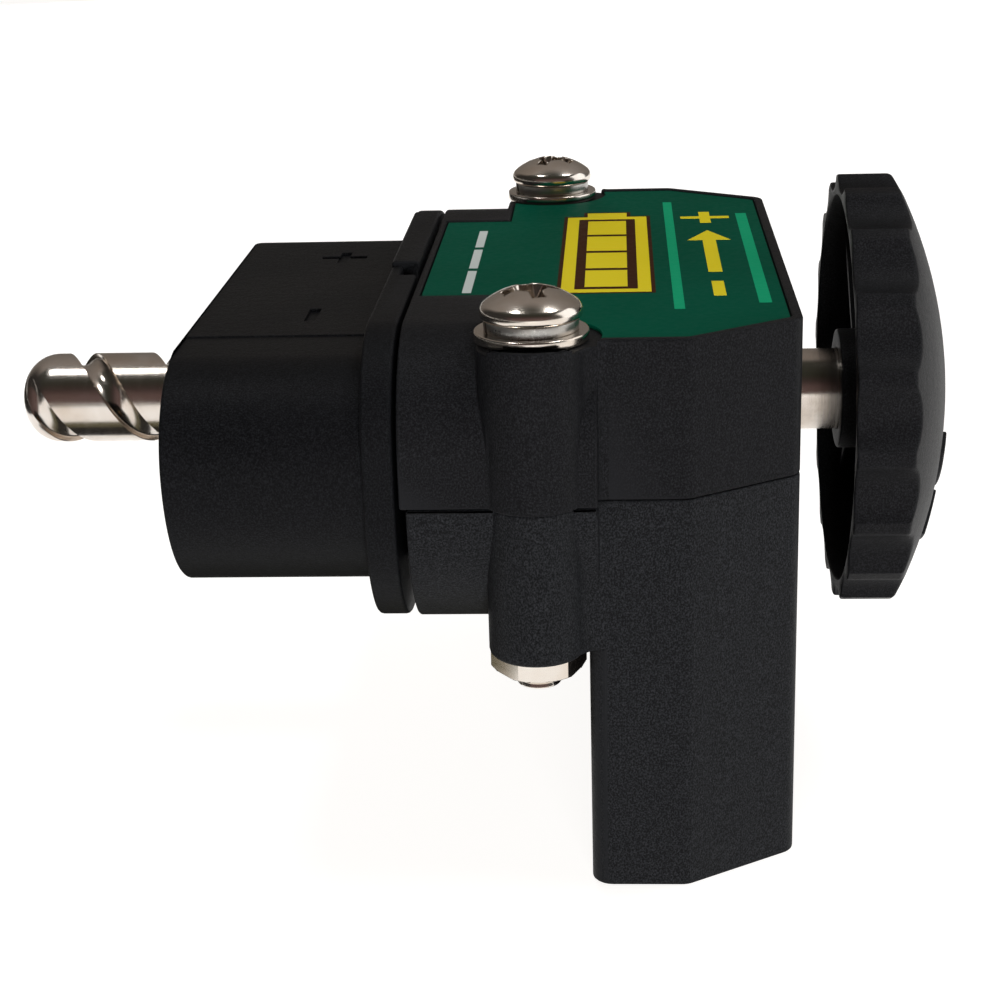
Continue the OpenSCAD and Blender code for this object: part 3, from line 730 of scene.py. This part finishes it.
def polar(r, angle):
    """(y, z) in metres of a point at r millimetres from the shaft's axis."""
    return r * MM * math.cos(angle), r * MM * math.sin(angle)


def sector(radii, angles):
    """A part of a ring, as the (y, z) of its points, along it by u and across it by v, from 0 to 1."""
    start, end = (math.radians(a) for a in angles)
    return lambda u, v: polar(radii[0] + (radii[1] - radii[0]) * v, start + (end - start) * u)


def add_rib(bm, turn):
    """A thin rib in the knob's hollow, from the hub to the rim."""
    along = Vector((0, math.cos(turn), math.sin(turn)))
    across = Vector((0, -math.sin(turn), math.cos(turn))) * RIB_T / 2
    deep = 0.5 * MM
    rings = []
    for i in range(13):
        r = HUB_R - deep + (CUP_R + deep - (HUB_R - deep)) * i / 12
        near, far = RIB_LEFT, dome_at(r, DOME_T) + deep
        worn = 0.15 * MM
        middle = along * r
        rings.append([
            (near + worn, *(middle - across).yz), (near, *(middle - across * 0.7).yz),
            (near, *(middle + across * 0.7).yz), (near + worn, *(middle + across).yz),
            (far, *(middle + across).yz), (far, *(middle - across).yz),
        ])
    rows = sweep_rings(bm, rings)
    cap(bm, rows[0])
    cap(bm, rows[-1])


# Places on the housing at which the edges' rounding changes
NOSE_SHOULDER = 11.6 * MM
BOSS_INNER = 31 * MM
BOSS_BOTTOM = -14.8 * MM
SCREW_PLACE = (15.4 * MM, 32.9 * MM)
HEAD_RIM_R = 4.2 * MM


def nose_weight(middle):
    """The nose's flat top stands only a little above its shoulders, so its edge stays crisp."""
    on_top = middle.z > NOSE_SHOULDER and middle.x < -0.2 * MM
    return 0.25 if on_top else 1.0


def boss_weight(middle):
    """Wide rounding under the screw bosses, and a narrow one elsewhere."""
    under_boss = abs(middle.y) > BOSS_INNER and abs(middle.z - BOSS_BOTTOM) < 0.2 * MM
    return 1.0 if under_boss else 0.45


def head_weight(middle):
    """Full rounding at the head's rim, little in the cross recess and on the thread."""
    reach = math.hypot(middle.x - SCREW_PLACE[0], abs(middle.y) - SCREW_PLACE[1])
    return 1.0 if reach > HEAD_RIM_R else 0.25


# Rounding width, in metres, and edge weights of each kind of piece
ROUNDING = {
    "nose_housing": (0.35 * MM, nose_weight),
    "upper_shell": (0.25 * MM, everywhere),
    "lower_shell": (0.5 * MM, boss_weight),
    "label_plate": (0.06 * MM, everywhere),
    "case_screw": (0.4 * MM, head_weight),
    "case_flat_washer": (0.18 * MM, everywhere),
    "case_lock_washer": (0.08 * MM, everywhere),
    "case_nut": (0.12 * MM, everywhere),
    "cable_grommet": (0.4 * MM, everywhere),
    "contact": (0.08 * MM, everywhere),
}
FINE_ROUNDING = (0.1 * MM, everywhere)


def build_skins():
    bodies, slots = body_of_node(), slot_of_node()
    for node in sorted(frame["nodes"]):
        if node in ("drive_shaft", "return_spring", "knob"):
            continue
        kind = node.removesuffix("_front").removesuffix("_back")
        width, weight = ROUNDING.get(kind, FINE_ROUNDING)
        bevelled(node, bodies[node], slots[node], width, weight)


# ---- Printing on the label ----


def ink(name, outlines, level, material):
    """Thin printed patches on the label's top face; outlines are in millimetres, anticlockwise."""
    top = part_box("label_plate")[1].z
    bm = bmesh.new()
    for outline in outlines:
        base = [bm.verts.new((x * MM, y * MM, top)) for x, y in outline]
        face = bm.faces.new(base)
        lifted = bmesh.ops.extrude_face_region(bm, geom=[face])["geom"]
        for vert in (g for g in lifted if isinstance(g, bmesh.types.BMVert)):
            vert.co.z = top + level
    bmesh.ops.recalc_face_normals(bm, faces=bm.faces)
    finish_piece(name, bm, "housing", "label", material)


def bar(x0, x1, y0, y1):
    return [(x0, y0), (x1, y0), (x1, y1), (x0, y1)]


def build_label_print():
    """Generic graphics: a battery with four cells, plus and minus signs, an arrow, stripes and bars."""
    low, middle_level, high = 0.010 * MM, 0.012 * MM, 0.018 * MM
    white = [bar(8, 8.9, y0, y1) for y0, y1 in ((-16.5, -7), (-5.8, 3), (4.2, 12.5))]
    ink("label_bars", white, middle_level, print_white)
    stripes = [bar(28.4, 29.4, -24, 27), bar(36.4, 37.6, -22, 20)]
    ink("label_stripes", stripes, low, print_green)
    add_battery(low, high)
    # The plus is on the same side as the one on the nose
    plus = [bar(32.3, 33.5, 15, 21), bar(30.2, 32.3, 17.4, 18.6), bar(33.5, 35.6, 17.4, 18.6)]
    minus = bar(32.3, 33.5, -19, -13)
    ink("label_signs", plus + [minus], high, print_yellow)
    arrow = [(32.2, -9), (33.6, -9), (33.6, 6), (35.2, 6), (32.9, 11), (30.6, 6), (32.2, 6)]
    ink("label_arrow", [arrow], high, print_yellow)


def add_battery(shade_level, level):
    """A battery with four cells in yellow, over a slightly larger dark patch. Millimetres."""
    x0, x1, y0, y1 = 17.6, 26.4, -17, 19
    line, shoulder, nub, gap, shade = 1.3, 2.2, 2.2, 1, 0.4
    tip_x0, tip_x1, tip_y = x0 + shoulder, x1 - shoulder, y1 + nub
    outline = [
        (x0, y0), (x1, y0), (x1, y1), (tip_x1, y1),
        (tip_x1, tip_y), (tip_x0, tip_y), (tip_x0, y1), (x0, y1),
    ]
    middle = ((x0 + x1) / 2, (y0 + y1) / 2)
    grown = [
        (x + math.copysign(shade, x - middle[0]), y + math.copysign(shade, y - middle[1]))
        for x, y in outline
    ]
    ink("label_battery_shade", [grown], shade_level, print_dark)
    left, right, bottom, top = x0 + line, x1 - line, y0 + line, y1 - line
    case = [
        bar(x0, left, y0, y1), bar(right, x1, y0, y1),
        bar(left, right, y0, bottom), bar(left, right, top, y1),
        bar(tip_x0, tip_x1, y1, tip_y),
    ]
    pitch = (top - bottom - gap) / 4
    cells = [
        bar(left + gap, right - gap, bottom + gap + i * pitch, bottom + (i + 1) * pitch)
        for i in range(4)
    ]
    ink("label_battery", case + cells, level, print_yellow)


bpy.context.scene.view_settings.view_transform = "Standard"
add_camera()
add_world()
add_floor()
add_painted_shade_cards()
add_area("overhead_left", (-0.25, -0.05, 0.75), (0, 0, 0), 0.12, 0.85)
add_area("overhead_right", (0.35, 0.05, 0.75), (0.02, 0, 0), 0.16, 1.2)
add_area("right_panel", (0.9, 0.1, 0.35), (0.05, 0, 0), 0.8, 2.6)
front_fill = add_area("front_fill", (0.12, -0.79, 0.04), (0.02, 0, -0.01), 0.25, 5.6)
rear_fill = add_area("rear_fill", (-0.2, 0.85, 0.12), (0, 0, 0), 0.3, 5)
for fill in (front_fill, rear_fill):
    fill.visible_glossy = False
build_skins()
build_knob()
build_shaft()
build_spring()
build_label_print()
